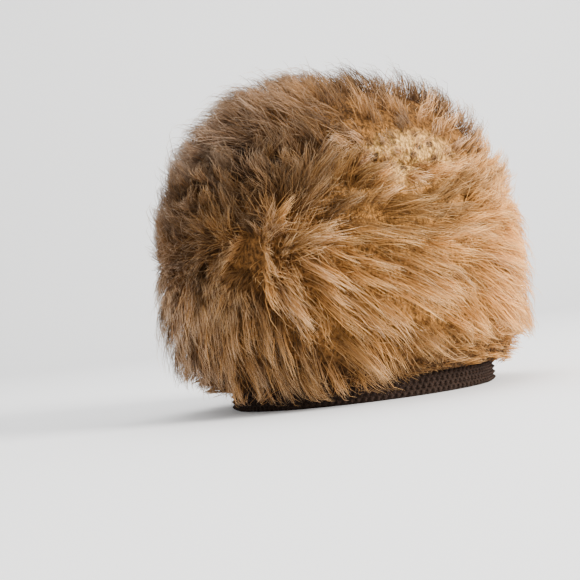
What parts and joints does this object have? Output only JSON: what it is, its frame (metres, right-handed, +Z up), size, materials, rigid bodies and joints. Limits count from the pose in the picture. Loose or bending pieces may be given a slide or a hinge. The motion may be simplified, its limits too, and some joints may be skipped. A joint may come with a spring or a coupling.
{
  "type": "fur hat",
  "caption": "Round long-haired fur hat of a side pelt and a top pelt, with a dark knitted band round the open head hollow.",
  "frame": {"origin": "under the middle of the hat's outline, on the plane of the band's flat lower edge", "axes": "+Z up, +X towards the front of the hat, along the head's length"},
  "size_m": [0.3028, 0.2744, 0.2547],
  "materials": {
    "dark_knit": "ribbed wool knit",
    "pelt_leather": "matt suede",
    "golden_brown_fur": "long fur",
    "beige_brown_fur": "long fur"
  },
  "bodies": {
    "root": {"knit_band": "dark_knit", "side_pelt": "pelt_leather", "top_pelt": "pelt_leather", "side_fur": "golden_brown_fur", "top_fur": "beige_brown_fur"}
  },
  "joints": []
}
